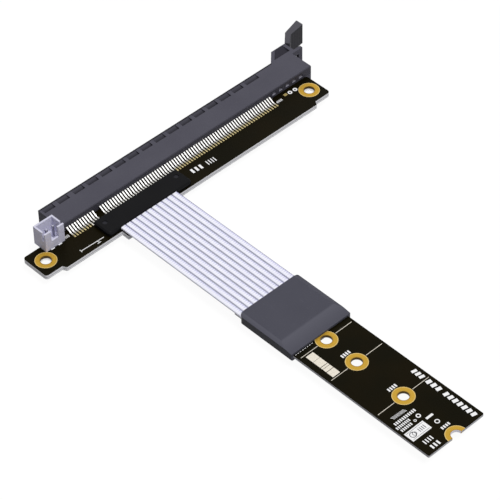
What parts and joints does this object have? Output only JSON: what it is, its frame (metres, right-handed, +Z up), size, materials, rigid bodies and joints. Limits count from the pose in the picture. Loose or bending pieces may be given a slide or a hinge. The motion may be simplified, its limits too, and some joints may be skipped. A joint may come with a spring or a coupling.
{
  "type": "pcie extension cable",
  "caption": "Flat-cable extension that joins a narrow drive-socket board to a long card slot on its own board, with a card latch and a small power header.",
  "frame": {"origin": "middle of the drive board's contact edge, on its top face", "axes": "+Y along the cable from the drive board to the mouth of the card slot, +Z up from the boards' top faces, +X along the card slot towards its latch"},
  "size_m": [0.131, 0.1547, 0.0114],
  "materials": {
    "board_mask": "near-black solder mask over woven glass board",
    "housing_plastic": "moulded, fine satin grain",
    "latch_plastic": "moulded, fine satin grain",
    "sleeve_plastic": "moulded, satin",
    "cover_plastic": "moulded, polished",
    "contact_metal": "tinned spring strip",
    "header_plastic": "natural milky nylon",
    "gold_plate": "thin gold over copper",
    "cable_jacket": "white film wrap, satin"
  },
  "bodies": {
    "main": {"slot_board": "board_mask", "drive_board": "board_mask", "slot_housing": "housing_plastic", "cable_sleeve": "sleeve_plastic", "cable_cover": "cover_plastic", "contacts_upper": "contact_metal", "contacts_lower": "contact_metal", "header_pins": "contact_metal", "header_housing": "header_plastic", "mounting_ring_left": "gold_plate", "mounting_ring_right": "gold_plate", "standoff_ring_30": "gold_plate", "standoff_ring_42": "gold_plate", "standoff_ring_60": "gold_plate", "half_ring_80": "gold_plate", "gold_fingers_top": "gold_plate", "gold_fingers_bottom": "gold_plate", "cable_pads_slot": "gold_plate", "cable_pads_drive": "gold_plate", "test_pad": "gold_plate", "ribbon_lane_01": "cable_jacket", "ribbon_lane_02": "cable_jacket", "ribbon_lane_03": "cable_jacket", "ribbon_lane_04": "cable_jacket", "ribbon_lane_05": "cable_jacket", "ribbon_lane_06": "cable_jacket", "ribbon_lane_07": "cable_jacket", "ribbon_lane_08": "cable_jacket", "ribbon_lane_09": "cable_jacket", "ribbon_lane_10": "cable_jacket", "ribbon_lane_11": "cable_jacket"},
    "latch": {"card_latch": "latch_plastic"}
  },
  "joints": [
    {"name": "latch_hinge", "type": "hinge", "parent": "main", "child": "latch", "pos_m": [0.0768, 0.06, -0.0008], "axis": [0, 0, 1], "range_deg": [-11, 0]}
  ]
}
